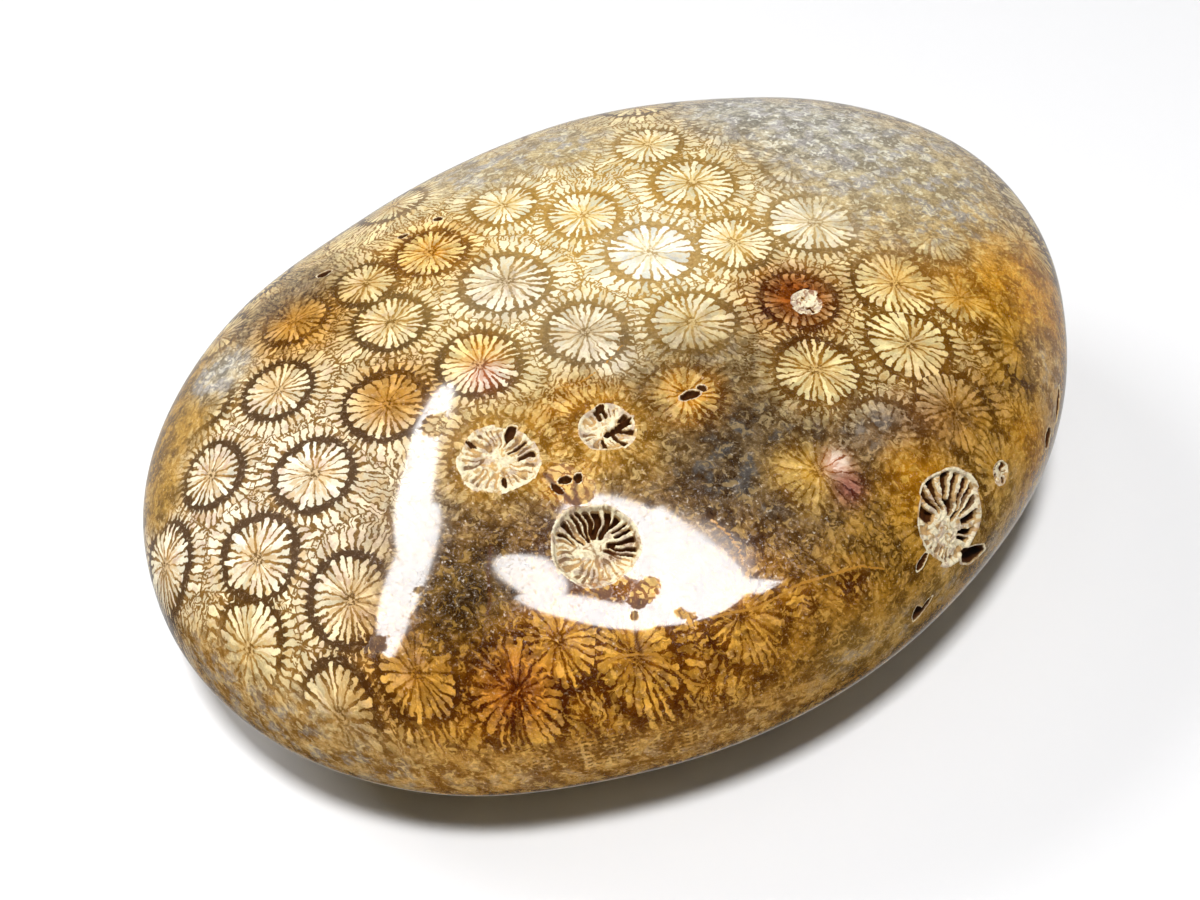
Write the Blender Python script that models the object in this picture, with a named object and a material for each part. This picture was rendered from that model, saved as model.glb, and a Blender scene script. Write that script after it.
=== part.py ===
"""Polished fossil coral stone.

One solid, oval and domed pebble, 74 x 53 x 24.5 mm, cut and polished from a
coral head. It stands on a small flat under its belly. Some of the coral's cups
(calices) are worn open at the surface, with ribs (septa) between their cells.

Frame: metres, +Z up, long axis along X, origin at the centre of the bounding
box's bottom, which is the plane that the stone stands on.
"""

import math

import bmesh
import bpy
from mathutils import Vector

MM = 0.001

# Size of the stone
LENGTH = 74.0 * MM
WIDTH = 53.2 * MM
HEIGHT = 24.45 * MM
GIRDLE_HEIGHT = 11.8 * MM  # height of the widest section
GROUND_OFF = 0.4 * MM  # ground off the belly to make the flat

# Form of the stone: a power of 2 is an ellipse, and more is fuller
PLAN_POWER = 2.06
SECTION_POWER = 2.6

# Plan irregularity: times round, cosine share and sine share of the radius
PLAN_WAVES = (
    (1, -0.004, 0.003),
    (2, 0.000, -0.025),
    (3, 0.005, 0.013),
)

# Gentle swells and hollows left by the polishing: longitude and latitude in
# degrees, and how far the middle stands out (a hollow is negative)
SWELL_RADIUS = 7.0 * MM
SWELLS = (
    (104.0, 29.0, -0.31 * MM),
    (88.0, 34.0, 0.10 * MM),
    (71.0, 34.0, 0.21 * MM),
    (42.0, 32.0, -0.29 * MM),
    (15.0, 31.0, -0.07 * MM),
    (-2.0, 28.0, 0.27 * MM),
    (-38.0, 11.0, -0.23 * MM),
    (-56.0, -5.0, 0.21 * MM),
    (-78.0, -18.0, -0.13 * MM),
    (-128.0, -22.0, -0.12 * MM),
    (-144.0, -23.0, 0.19 * MM),
    (173.0, -12.0, -0.10 * MM),
    (148.0, 14.0, 0.09 * MM),
    (-150.0, 58.0, -0.30 * MM),
)

SPHERE_STEPS = 5  # 5 gives 5120 triangles

# Open calices: name, longitude, latitude, radius, bowl depth, cells, cell depth
CALICES = (
    ("front_bowl", -130.1, 50.2, 3.1 * MM, 1.20 * MM, 12, 0.55 * MM),
    ("worn_cup", -156.4, 62.0, 3.0 * MM, 0.30 * MM, 12, 0.30 * MM),
    ("small_cup", -131.1, 66.1, 2.2 * MM, 0.55 * MM, 10, 0.45 * MM),
    ("flank_fan", -81.8, 24.0, 2.7 * MM, 0.55 * MM, 11, 0.60 * MM),
    ("amber_cup", -55.5, 67.7, 1.5 * MM, 0.30 * MM, 9, 0.25 * MM),
)

# Small holes: name, longitude, latitude, length, width, depth, turn in degrees
HOLES = (
    ("crescent_hole", -108.6, 68.8, 1.9 * MM, 1.0 * MM, 0.60 * MM, 20.0),
    ("crack_hole", -137.2, 59.4, 2.2 * MM, 1.1 * MM, 0.90 * MM, 80.0),
    ("flank_hole", -78.9, 7.5, 2.2 * MM, 1.5 * MM, 1.00 * MM, 0.0),
    ("flank_slit", -87.8, 18.5, 1.5 * MM, 0.7 * MM, 0.60 * MM, 60.0),
    ("pinhole_cup", -71.9, 23.4, 1.5 * MM, 1.2 * MM, 0.40 * MM, 90.0),
    ("rim_hole", -57.4, 11.0, 3.6 * MM, 1.4 * MM, 0.80 * MM, 80.0),
    ("low_hole", -88.2, 3.3, 2.0 * MM, 1.6 * MM, 0.70 * MM, 45.0),
    ("far_hole", 119.4, 46.2, 1.6 * MM, 0.8 * MM, 0.50 * MM, 0.0),
    ("white_pit", 106.0, 49.6, 1.5 * MM, 0.8 * MM, 0.40 * MM, 30.0),
)

MOUTH_LIP = 1.6 * MM  # how far a cutter stands proud of the surface
RIM_WALL = 0.35  # share of a bowl's depth that its steep rim has

STONE_COLOUR = (0.42, 0.29, 0.13, 1.0)
STONE_ROUGHNESS = 0.08


def clear_scene():
    """Remove the objects that a new file starts with."""
    for old in list(bpy.data.objects):
        bpy.data.objects.remove(old, do_unlink=True)


def direction(longitude, latitude):
    """Unit vector from degrees round +Z and degrees above the girdle."""
    lon, lat = math.radians(longitude), math.radians(latitude)
    return Vector((math.cos(lat) * math.cos(lon), math.cos(lat) * math.sin(lon), math.sin(lat)))


def plan_radius(angle):
    """Radius of the widest section at an angle round +Z."""
    across = abs(math.cos(angle) / (LENGTH / 2)) ** PLAN_POWER
    along = abs(math.sin(angle) / (WIDTH / 2)) ** PLAN_POWER
    wave = sum(c * math.cos(n * angle) + s * math.sin(n * angle) for n, c, s in PLAN_WAVES)
    return (across + along) ** (-1 / PLAN_POWER) * (1 + wave)


def smooth_point(way):
    """Point of the unworn form in a direction from its middle."""
    half_height = HEIGHT - GIRDLE_HEIGHT if way.z > 0 else GIRDLE_HEIGHT + GROUND_OFF
    point = Vector((way.x * LENGTH / 2, way.y * WIDTH / 2, way.z * half_height))
    radius = plan_radius(math.atan2(point.y, point.x))
    share = math.hypot(point.x, point.y) / radius
    rise = abs(point.z) / half_height
    scale = (share**SECTION_POWER + rise**SECTION_POWER) ** (-1 / SECTION_POWER)
    return point * scale + Vector((0, 0, GIRDLE_HEIGHT))


def outward(longitude, latitude):
    """Outward normal of the unworn form."""

    def near(east, north):
        return smooth_point(direction(longitude + east, latitude + north))

    step = 0.5
    eastward = near(step, 0) - near(-step, 0)
    northward = near(0, step) - near(0, -step)
    return eastward.cross(northward).normalized()


def worn_point(way):
    """Point of the form with its swells and hollows."""
    smooth = smooth_point(way)
    offset = Vector((0, 0, 0))
    for longitude, latitude, height in SWELLS:
        middle = smooth_point(direction(longitude, latitude))
        fade = math.exp(-((smooth - middle).length_squared) / SWELL_RADIUS**2)
        offset += outward(longitude, latitude) * height * fade
    return smooth + offset


def make_blank():
    """The closed stone before its calices are opened."""
    mesh = bmesh.new()
    bmesh.ops.create_icosphere(mesh, subdivisions=SPHERE_STEPS, radius=1.0)
    for vertex in mesh.verts:
        vertex.co = worn_point(vertex.co.normalized())
    grind_flat(mesh)
    return mesh


def grind_flat(mesh):
    """Cut the belly off at the ground plane and close the cut."""
    everything = mesh.verts[:] + mesh.edges[:] + mesh.faces[:]
    ground = {"plane_co": (0, 0, 0), "plane_no": (0, 0, -1)}
    cut = bmesh.ops.bisect_plane(mesh, geom=everything, clear_outer=True, **ground)
    rim = [piece for piece in cut["geom_cut"] if isinstance(piece, bmesh.types.BMEdge)]
    bmesh.ops.contextual_create(mesh, geom=rim)
    bmesh.ops.recalc_face_normals(mesh, faces=mesh.faces[:])


def surface_frame(longitude, latitude, turn=0.0):
    """A point of the surface with its two tangents and its normal."""
    middle = worn_point(direction(longitude, latitude))
    normal = outward(longitude, latitude)
    sideways = Vector((0, 0, 1)).cross(normal).normalized()
    upward = normal.cross(sideways)
    angle = math.radians(turn)
    along = sideways * math.cos(angle) + upward * math.sin(angle)
    return middle, along, normal.cross(along), normal


def cutter_from_rings(name, frame, rings, floor_depth):
    """Closed cutter from rings of (along, across, height), inner ring first."""
    middle, along, across, normal = frame
    mesh = bmesh.new()

    def place(x, y, z):
        return mesh.verts.new(middle + along * x + across * y + normal * z)

    floor = place(0, 0, -floor_depth)
    grid = [[place(*spot) for spot in ring] for ring in rings]
    lid = place(0, 0, MOUTH_LIP)
    count = len(grid[0])
    for j in range(count):
        k = (j + 1) % count
        mesh.faces.new((floor, grid[0][k], grid[0][j]))
        for inner, outer in zip(grid, grid[1:]):
            mesh.faces.new((inner[j], inner[k], outer[k], outer[j]))
        mesh.faces.new((lid, grid[-1][j], grid[-1][k]))
    bmesh.ops.recalc_face_normals(mesh, faces=mesh.faces[:])
    bmesh.ops.triangulate(mesh, faces=mesh.faces[:])
    return cutter_object(name, mesh)


def cutter_object(name, mesh):
    """A guide object that the build leaves out."""
    data = bpy.data.meshes.new(name)
    mesh.to_mesh(data)
    mesh.free()
    cutter = bpy.data.objects.new(name, data)
    bpy.context.collection.objects.link(cutter)
    cutter.hide_render = True
    cutter.display_type = "WIRE"
    return cutter


def calice_cutter(name, longitude, latitude, radius, depth, cells, cell_depth):
    """A bowl whose floor has a rib between each pair of cells."""
    count = cells * 3
    rings = []
    for share in (0.22, 0.5, 0.78, 1.0):
        bowl = depth * (1 - (1 - RIM_WALL) * share**2)
        ring = []
        for j in range(count):
            angle = 2 * math.pi * j / count
            reach = radius * share * (1 + 0.03 * math.cos(2 * angle) + 0.02 * math.sin(5 * angle))
            groove = 0.0 if j % 3 == 0 else cell_depth * share * (1.6 - share)
            ring.append((reach * math.cos(angle), reach * math.sin(angle), -bowl - groove))
        rings.append(ring)
    rings.append([(x, y, MOUTH_LIP) for x, y, z in rings[-1]])
    return cutter_from_rings(name, surface_frame(longitude, latitude), rings, depth)


def hole_cutter(name, longitude, latitude, length, width, depth, turn):
    """An oval hole with a rounded floor."""
    count = 12
    rings = []
    for share, level in ((0.55, 0.9), (1.0, 0.45)):
        ring = []
        for j in range(count):
            angle = 2 * math.pi * j / count
            ragged = 1 + 0.12 * math.cos(3 * angle)
            x = length / 2 * share * ragged * math.cos(angle)
            y = width / 2 * share * ragged * math.sin(angle)
            ring.append((x, y, -depth * level))
        rings.append(ring)
    rings.append([(x * 1.05, y * 1.05, MOUTH_LIP) for x, y, z in rings[-1]])
    return cutter_from_rings(name, surface_frame(longitude, latitude, turn), rings, depth)


def cut_all(stone, cutters):
    """Take each cutter out of the stone, one Boolean after the other."""
    for cutter in cutters:
        boolean = stone.modifiers.new(cutter.name, "BOOLEAN")
        boolean.operation = "DIFFERENCE"
        boolean.solver = "EXACT"
        boolean.object = cutter


def stone_material():
    """Polished golden-brown stone."""
    material = bpy.data.materials.new("agatized_coral")
    material.use_nodes = True
    shader = material.node_tree.nodes["Principled BSDF"]
    shader.inputs["Base Color"].default_value = STONE_COLOUR
    shader.inputs["Roughness"].default_value = STONE_ROUGHNESS
    shader.inputs["Metallic"].default_value = 0.0
    return material


def settle(stone):
    """Bake the cuts and put the origin at the bounding box's bottom centre."""
    bpy.context.view_layer.update()
    evaluated = stone.evaluated_get(bpy.context.evaluated_depsgraph_get())
    finished = bpy.data.meshes.new_from_object(evaluated)
    stone.modifiers.clear()
    stone.data = finished
    xs = [vertex.co.x for vertex in finished.vertices]
    ys = [vertex.co.y for vertex in finished.vertices]
    shift = Vector((-(min(xs) + max(xs)) / 2, -(min(ys) + max(ys)) / 2, 0))
    for vertex in finished.vertices:
        vertex.co += shift
    finished.shade_smooth()
    finished.set_sharp_from_angle(angle=math.radians(35))


def build():
    clear_scene()
    blank = make_blank()
    data = bpy.data.meshes.new("fossil_coral")
    blank.to_mesh(data)
    blank.free()
    stone = bpy.data.objects.new("fossil_coral", data)
    bpy.context.collection.objects.link(stone)
    stone.data.materials.append(stone_material())
    cutters = [calice_cutter(*calice) for calice in CALICES]
    cutters += [hole_cutter(*hole) for hole in HOLES]
    cut_all(stone, cutters)
    settle(stone)
    for cutter in cutters:
        bpy.data.objects.remove(cutter, do_unlink=True)
    print("triangles", sum(len(face.vertices) - 2 for face in stone.data.polygons))


build()
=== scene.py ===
"""Looks of the polished fossil coral stone.

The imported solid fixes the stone's place and size. One fine mesh of the same form
stands for it here: the polished skin with its open calices in full relief. The
coral's stars are a solid pattern that runs through the stone along the growth
axes of its corallites, so the sides show them cut lengthwise.

Lengths in this file are millimetres up to the point where meshes, lights and the
camera are made, which is where they become Blender's metres.
"""

import math
import random

import bmesh
import bpy
import numpy as np
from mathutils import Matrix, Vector
from mathutils.bvhtree import BVHTree


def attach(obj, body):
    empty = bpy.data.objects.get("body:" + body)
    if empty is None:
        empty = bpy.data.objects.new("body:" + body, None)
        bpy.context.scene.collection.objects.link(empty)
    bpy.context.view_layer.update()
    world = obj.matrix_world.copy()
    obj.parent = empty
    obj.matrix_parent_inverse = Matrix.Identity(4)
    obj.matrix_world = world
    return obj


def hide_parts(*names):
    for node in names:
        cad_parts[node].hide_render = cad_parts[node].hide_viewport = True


MM = 0.001
NODE = "fossil_coral"

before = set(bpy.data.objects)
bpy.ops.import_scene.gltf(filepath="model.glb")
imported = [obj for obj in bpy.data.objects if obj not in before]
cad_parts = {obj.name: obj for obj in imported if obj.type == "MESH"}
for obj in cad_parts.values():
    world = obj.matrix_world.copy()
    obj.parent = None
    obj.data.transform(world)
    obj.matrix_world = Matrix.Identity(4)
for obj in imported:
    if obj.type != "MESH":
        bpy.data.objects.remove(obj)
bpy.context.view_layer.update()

# ---- the form, as in part.py. Its numbers and the camera's follow least-squares fits to the
# photo's outline
# Its numbers and the camera's follow least-squares fits to the photo's outline, which
# report.md sets out under "Rule not kept"
LENGTH, WIDTH, HEIGHT = 74.0, 53.2, 24.45
GIRDLE_HEIGHT = 11.8
GROUND_OFF = 0.4
PLAN_POWER, SECTION_POWER = 2.06, 2.6
PLAN_WAVES = ((1, -0.004, 0.003), (2, 0.000, -0.025), (3, 0.005, 0.013))
SWELL_RADIUS = 7.0
SWELLS = (  # longitude and latitude in degrees, height in mm
    (104.0, 29.0, -0.31),
    (88.0, 34.0, 0.10),
    (71.0, 34.0, 0.21),
    (42.0, 32.0, -0.29),
    (15.0, 31.0, -0.07),
    (-2.0, 28.0, 0.27),
    (-38.0, 11.0, -0.23),
    (-56.0, -5.0, 0.21),
    (-78.0, -18.0, -0.13),
    (-128.0, -22.0, -0.12),
    (-144.0, -23.0, 0.19),
    (173.0, -12.0, -0.10),
    (148.0, 14.0, 0.09),
    (-150.0, 58.0, -0.30),
)
SPHERE_STEPS, SKIN_STEPS = 7, 6  # times that a ball is split, for the fine mesh and for the skin

# ---- camera
PHOTO_WIDTH, PHOTO_HEIGHT = 1200, 900
VIEW_AZIMUTH, VIEW_ELEVATION = -41.97, 47.88
VIEW_DISTANCE = 142.24
VIEW_TARGET = np.array((-2.68, 0.75, 8.86))
VIEW_WIDTH_DEGREES = 35.0
SENSOR = 36.0


def directions(longitude, latitude):
    """Unit vectors from degrees round +Z and degrees above the girdle."""
    lon, lat = np.radians(longitude), np.radians(latitude)
    return np.stack((np.cos(lat) * np.cos(lon), np.cos(lat) * np.sin(lon), np.sin(lat)), -1)


def smooth_form(ways):
    """Points of the unworn form in directions from its middle."""
    rise = np.where(ways[:, 2] > 0, HEIGHT - GIRDLE_HEIGHT, GIRDLE_HEIGHT + GROUND_OFF)
    points = ways * np.stack((np.full_like(rise, LENGTH / 2), np.full_like(rise, WIDTH / 2), rise), -1)
    angle = np.arctan2(points[:, 1], points[:, 0])
    across = np.abs(np.cos(angle) / (LENGTH / 2)) ** PLAN_POWER
    along = np.abs(np.sin(angle) / (WIDTH / 2)) ** PLAN_POWER
    wave = sum(c * np.cos(n * angle) + s * np.sin(n * angle) for n, c, s in PLAN_WAVES)
    radius = (across + along) ** (-1 / PLAN_POWER) * (1 + wave)
    share = np.hypot(points[:, 0], points[:, 1]) / radius
    level = np.abs(points[:, 2]) / rise
    scale = (share**SECTION_POWER + level**SECTION_POWER) ** (-1 / SECTION_POWER)
    return points * scale[:, None] + (0, 0, GIRDLE_HEIGHT)


def normals_of(form, ways):
    """Outward normals of a form by small steps either side of each direction."""
    helper = np.where(np.abs(ways[:, 2:]) > 0.9, (1.0, 0.0, 0.0), (0.0, 0.0, 1.0))
    east = np.cross(helper, ways)
    east /= np.linalg.norm(east, axis=1)[:, None]
    north = np.cross(ways, east)
    step = 0.004

    def moved(side):
        shifted = ways + side * step
        return form(shifted / np.linalg.norm(shifted, axis=1)[:, None])

    normals = np.cross(moved(east) - moved(-east), moved(north) - moved(-north))
    return normals / np.linalg.norm(normals, axis=1)[:, None]


def worn_form(ways):
    """Points of the form with its swells and hollows."""
    smooth = smooth_form(ways)
    points = smooth.copy()
    for longitude, latitude, height in SWELLS:
        way = directions(longitude, latitude)[None]
        middle, normal = smooth_form(way)[0], normals_of(smooth_form, way)[0]
        fade = np.exp(-((smooth - middle) ** 2).sum(1) / SWELL_RADIUS**2)
        points += normal * height * fade[:, None]
    return points


# ---- photo to stone
def view_axes():
    """Unit vectors back, right and up of the camera."""
    azimuth, elevation = math.radians(VIEW_AZIMUTH), math.radians(VIEW_ELEVATION)
    flat = math.cos(elevation)
    back = np.array((math.sin(azimuth) * flat, -math.cos(azimuth) * flat, math.sin(elevation)))
    right = np.array((math.cos(azimuth), math.sin(azimuth), 0.0))
    return back, right, np.cross(back, right)


BACK, RIGHT, UP = view_axes()
CAMERA_AT = VIEW_TARGET + BACK * VIEW_DISTANCE
FOCAL_PIXELS = PHOTO_WIDTH / 2 / math.tan(math.radians(VIEW_WIDTH_DEGREES / 2))


def opened_ball(ball):
    """Directions and triangles of a ball mesh, which is then freed."""
    ball.verts.index_update()
    ways = np.array([v.co for v in ball.verts], float)
    ways /= np.linalg.norm(ways, axis=1)[:, None]
    corners = np.array([[v.index for v in f.verts] for f in ball.faces])
    ball.free()
    return ways, corners


class Skin:
    """The worn form as a tree that rays from the camera can hit."""

    def __init__(self):
        ball = bmesh.new()
        bmesh.ops.create_icosphere(ball, subdivisions=SKIN_STEPS, radius=1.0)
        ways, corners = opened_ball(ball)
        self.points = worn_form(ways)
        self.tree = BVHTree.FromPolygons(self.points.tolist(), corners.tolist())

    def under(self, x, y):
        """Point and outward normal of the skin at a pixel of the photo."""
        ray = -BACK + RIGHT * ((x - PHOTO_WIDTH / 2) / FOCAL_PIXELS)
        ray = ray + UP * ((PHOTO_HEIGHT / 2 - y) / FOCAL_PIXELS)
        hit, normal, _, _ = self.tree.ray_cast(Vector(CAMERA_AT), Vector(ray).normalized())
        if hit is None:
            raise ValueError(f"pixel {x}, {y} is off the stone")
        return np.array(hit), np.array(normal)


SKIN = Skin()


# ---- the coral's growth
AXIS_LEAN = np.array((-0.13, 0.11))  # sideways drift of the growth axes for each mm up
AXIS_FAN = 0.004  # how much the axes spread for each mm up
AXIS_LEVEL = 22.0  # height at which stars keep their true size


def growth(points):
    """Place across the growth axes, and height along them."""
    above = points[:, 2] - AXIS_LEVEL
    across = (points[:, :2] - above[:, None] * AXIS_LEAN) / (1 + AXIS_FAN * above)[:, None]
    return np.column_stack((across, points[:, 2]))


# Corallites seen in the photo: pixel of the middle, radius of the petals in mm
STARS = (
    (648, 145, 2.5), (557, 150, 2.4), (693, 183, 2.9), (503, 205, 2.4), (583, 215, 2.6),
    (650, 252, 3.0), (735, 242, 2.6), (813, 222, 3.1), (795, 163, 2.6), (932, 235, 2.6),
    (895, 283, 2.9), (505, 282, 2.9), (692, 322, 2.8), (585, 332, 2.7), (480, 363, 2.7),
    (391, 322, 2.5), (430, 252, 2.5), (366, 284, 2.2), (294, 320, 2.4), (221, 337, 2.2),
    (278, 390, 2.4), (386, 405, 2.7), (313, 474, 2.55), (212, 475, 2.3), (258, 557, 2.6),
    (165, 568, 2.5), (352, 599, 2.7), (249, 648, 2.5), (418, 672, 2.4), (342, 720, 2.5),
    (909, 343, 2.8), (817, 371, 2.7), (1019, 348, 2.6), (818, 470, 2.9), (955, 410, 2.7),
    (884, 436, 2.6), (960, 298, 2.3), (742, 612, 2.5), (515, 690, 2.8), (635, 656, 2.6),
    (595, 545, 3.1), (499, 457, 3.0), (608, 431, 2.4), (684, 394, 2.4), (952, 522, 2.6),
    (799, 300, 2.5), (1001, 473, 2.2), (745, 500, 2.5), (560, 640, 2.4), (460, 560, 2.6),
)
FILL_GAP = 6.4  # least distance between the middles of the corallites that fill the rest
FILL_HALF_LENGTH, FILL_HALF_WIDTH = 42, 32  # oval that they fill
FILL_RADII = (2.3, 2.9)
FILL_TRIES = 6000
FILL_SEED = 11
NAME_STEP = 0.0007  # a radius of its own for each star, which the shader also takes as its name


def star_list():
    """Middle and petal radius of every corallite, across the growth axes."""
    stars = []
    for x, y, radius in STARS:
        place = growth(SKIN.under(x, y)[0][None])[0]
        stars.append((place[0], place[1], radius))
    dice = random.Random(FILL_SEED)
    for _ in range(FILL_TRIES):
        x = dice.uniform(-FILL_HALF_LENGTH, FILL_HALF_LENGTH)
        y = dice.uniform(-FILL_HALF_WIDTH, FILL_HALF_WIDTH)
        if (x / FILL_HALF_LENGTH) ** 2 + (y / FILL_HALF_WIDTH) ** 2 > 1:
            continue
        if min(math.hypot(x - sx, y - sy) for sx, sy, _ in stars) > FILL_GAP:
            stars.append((x, y, dice.uniform(*FILL_RADII)))
    return np.array([(x, y, r + NAME_STEP * k) for k, (x, y, r) in enumerate(stars)])


# ---- open calices
class Hollow:
    """A pit with its own flat frame: x to the photo's right, y up the photo."""

    def __init__(self, x, y, reach, relief):
        self.middle, self.normal = SKIN.under(x, y)
        along = RIGHT - self.normal * (RIGHT @ self.normal)
        self.along = along / np.linalg.norm(along)
        self.across = np.cross(self.normal, self.along)
        self.reach, self.relief = reach, relief

    def local(self, points):
        away = points - self.middle
        return away @ self.along, away @ self.across


def step_up(low, high, value):
    """Smooth step from 0 at low to 1 at high."""
    t = np.clip((value - low) / (high - low), 0, 1)
    return t * t * (3 - 2 * t)


def ragged(angle, seed, amount):
    """Radius factor of an uneven rim."""
    wave = np.sin(3 * angle + seed) + 0.7 * np.sin(5 * angle + 2.1 * seed)
    return 1 + amount * (wave + 0.5 * np.sin(8 * angle + 3.7 * seed))


def cell_random(index, seed):
    """A fixed random number from 0 to 1 for each cell."""
    value = np.sin(index * 12.9898 + seed * 78.233) * 43758.5453
    return value - np.floor(value)


CRUMB = 0.06  # height in mm of the lumps on a calice's floor
CHOKED = 0.16  # how open a cell full of crystals looks


def septa_relief(
    radius, bowl, cells, cell_depth, seed, lift=0.0, step=0.0, opened=0.2, wall=0.14,
    shade=lambda x, y: 1.0, focus=(0.0, 0.0), notched=0.0
):
    """Bowl with radial walls; returns depth, openness of its cells and inside-ness.

    The bowl's depth at the rim is its step, a share of the depth in its middle. The
    opened share of the cells is hollow and the rest is choked with crystals. Cells run
    out from the focus, and the notched share of the radius is how uneven the rim is."""
    pairs = cells / 2

    def relief(x, y):
        bent_x = x + 0.11 * np.sin(2.3 * y + seed) + 0.06 * np.sin(5.1 * y + 2 * seed)
        bent_y = y + 0.11 * np.sin(2.1 * x + 3 * seed) + 0.06 * np.sin(4.7 * x + seed)
        angle = np.arctan2(bent_y - focus[1], bent_x - focus[0])
        from_focus = np.hypot(bent_x - focus[0], bent_y - focus[1]) / radius
        sway = 0.20 * np.sin(2 * angle + seed) + 0.10 * np.sin(5 * angle + 2 * seed)
        turn = angle / (2 * np.pi) * pairs + sway
        distance = np.hypot(x, y) / radius / ragged(np.arctan2(y, x), seed, 0.025)
        name = np.mod(np.floor(turn), pairs)
        distance = distance * (1 + notched * (cell_random(name, seed + 11) - 0.3))
        inside = 1 - step_up(0.93, 1.0, distance)
        floor = bowl * (1 - (1 - step) * np.clip(distance, 0, 1) ** 2)
        pair = np.floor(turn)
        half = turn - pair
        first_wall = wall + 0.20 * cell_random(name, seed + 3)
        first = step_up(first_wall - 0.06, first_wall + 0.10, 2 * np.minimum(half, 1 - half))
        late_wall = wall * 0.7 + 0.16 * cell_random(name, seed + 5)
        late_start = 0.18 + 0.34 * cell_random(name, seed + 9)
        late = 1 - step_up(late_wall - 0.06, late_wall + 0.10, 2 * np.abs(half - 0.5))
        gap = first * (1 - late * step_up(late_start, late_start + 0.12, from_focus))
        start = 0.16 + 0.34 * cell_random(name, seed + 7)
        span = step_up(start, start + 0.14, from_focus) * (1 - step_up(0.84, 0.97, distance))
        chance = cell_random(name + 0.5 * (half > 0.5), seed)
        hollow = np.where(chance < opened, 0.75 + 0.25 * chance / opened, 0.15 + 0.20 * chance)
        shown = shade(x / radius, y / radius)
        deep = gap * span * hollow * shown
        # openness also sets how much painted shade the material puts in each cell
        openness = gap * span * np.where(chance < opened, shown, CHOKED)
        knob = lift * np.exp(-((from_focus / 0.16) ** 2))
        lumps = np.sin(7.3 * x + 2.1 * np.sin(5.1 * y + seed)) * np.sin(8.1 * y + 1.7 * np.sin(4.7 * x))
        depth = inside * np.clip(floor - knob + cell_depth * deep + CRUMB * lumps, 0, None)
        return depth, openness * inside, 1 - step_up(0.97, 1.05, distance)

    return relief


def hole_relief(length, width, depth, turn, seed):
    """Oval hole with an uneven rim."""

    def relief(x, y):
        angle = math.radians(turn)
        u = (x * math.cos(angle) + y * math.sin(angle)) / (length / 2)
        v = (-x * math.sin(angle) + y * math.cos(angle)) / (width / 2)
        distance = np.hypot(u, v) / ragged(np.arctan2(v, u), seed, 0.06)
        inside = 1 - step_up(0.72, 1.0, distance)
        return depth * inside, 1 - step_up(0.84, 1.0, distance), 1 - step_up(0.95, 1.20, distance)

    return relief


def far_side(x, y):
    """Cells open on a cup's far half and choked on its near half."""
    return 0.12 + 0.88 * step_up(-0.15, 0.30, y + 0.25 * x)


def fan_side(x, y):
    return 0.15 + 0.85 * step_up(-0.55, 0.05, y + 0.5 * x)


# Small holes: pixel of the photo (two numbers), reach, length, width and depth in mm, turn in
# degrees from the photo's right, and seed of the rim
HOLES = (
    (690, 395, 1.0, 1.5, 0.7, 0.5, 25, 3.5), (702, 388, 0.7, 0.7, 0.5, 0.4, -30, 3.9),
    (617, 426, 1.6, 2.3, 0.55, 0.7, 38, 1.0), (600, 408, 0.8, 0.7, 0.5, 0.4, 60, 2.0),
    (565, 480, 0.8, 0.9, 0.6, 0.6, 10, 4.0), (578, 478, 0.6, 0.55, 0.75, 0.6, 0, 5.0),
    (557, 489, 0.9, 1.1, 0.45, 0.45, -45, 6.0), (973, 554, 2.4, 3.6, 1.4, 0.8, -30, 7.0),
    (922, 562, 1.0, 1.4, 0.6, 0.5, 50, 8.0), (917, 613, 1.2, 0.9, 1.5, 0.6, 10, 9.0),
    (925, 606, 1.2, 1.6, 0.6, 0.5, 40, 10.0), (1058, 405, 1.4, 0.8, 2.6, 0.6, -15, 11.0),
    (1048, 438, 1.2, 1.2, 1.6, 0.6, 0, 12.0), (324, 274, 0.9, 1.1, 0.7, 0.4, 15, 13.0),
    (403, 236, 0.7, 0.8, 0.5, 0.3, 20, 14.0), (438, 219, 0.7, 0.7, 0.5, 0.3, -20, 15.0),
    (471, 444, 0.7, 0.9, 0.35, 0.4, -35, 16.0), (510, 433, 1.0, 1.3, 0.7, 0.5, 70, 17.0),
    (504, 481, 0.7, 0.9, 0.35, 0.4, -80, 18.0),
)


def hollow_list():
    """Every open calice and hole, placed by its pixel in the photo."""
    calices = [
        Hollow(595, 544, 3.0, septa_relief(
            2.75, 0.95, 28, 0.85, 1.0, 0.35, 0.38, 0.80, 0.16, far_side, notched=0.04
        )),
        Hollow(498, 458, 2.9, septa_relief(2.55, 0.24, 24, 0.50, 2.0, 0.10, 0.10, 0.20, 0.22, notched=0.20)),
        Hollow(606, 427, 2.2, septa_relief(1.90, 0.40, 16, 0.50, 3.0, 0.10, 0.20, 0.30, 0.22, notched=0.24)),
        Hollow(953, 518, 3.6, septa_relief(
            3.15, 0.50, 20, 1.10, 4.0, 0.10, 0.38, 0.92, 0.13, fan_side, (0.0, -0.8), 0.16
        )),
        Hollow(807, 302, 1.8, septa_relief(1.25, 0.15, 14, 0.25, 5.0, 0.0, 0.3, 0.15, 0.45, notched=0.6)),
        Hollow(1001, 473, 1.2, septa_relief(0.85, 0.20, 8, 0.35, 6.0, 0.0, 0.38)),
    ]
    return calices + [Hollow(x, y, reach, hole_relief(*form)) for x, y, reach, *form in HOLES]


HOLLOWS = hollow_list()


# ---- seams and cracks
PALE, DARK = "pale", "dark"

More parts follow.
